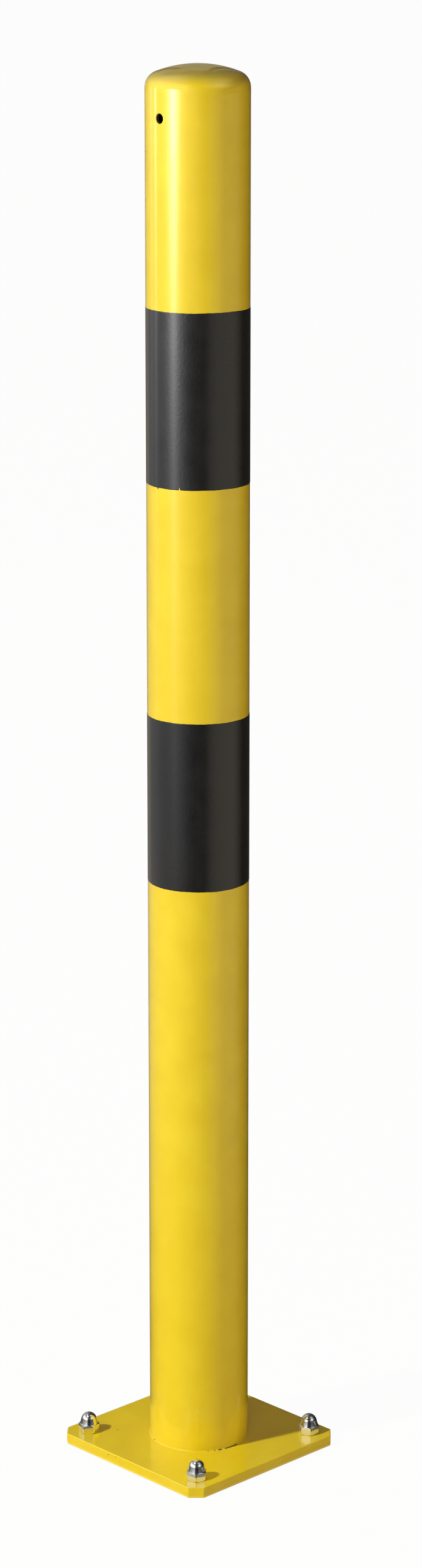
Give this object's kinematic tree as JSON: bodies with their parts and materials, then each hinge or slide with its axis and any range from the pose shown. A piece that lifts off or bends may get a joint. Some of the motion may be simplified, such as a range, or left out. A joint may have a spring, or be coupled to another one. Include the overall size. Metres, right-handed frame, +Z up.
{
  "type": "steel protection post",
  "caption": "Round steel protection post with a domed cap, black warning bands and a square floor plate held by cap nuts, for guarding walls, doors and machines against vehicles.",
  "frame": {"origin": "middle of the floor plate's underside, on the tube's axis", "axes": "+Z up along the tube's axis, X and Y along the sides of the square floor plate, with the vent hole towards -X"},
  "size_m": [0.18, 0.18, 1.2406],
  "materials": {
    "yellow_paint": "glossy traffic yellow coat over steel, with slight orange peel",
    "black_paint": "satin black coat brushed and sprayed over the yellow",
    "bright_nut_steel": "polished bright plated steel"
  },
  "bodies": {
    "root": {"capped_tube": "yellow_paint", "weld_beads": "yellow_paint", "base_plate": "yellow_paint", "black_bands": "black_paint", "cap_nuts": "bright_nut_steel"}
  },
  "joints": []
}
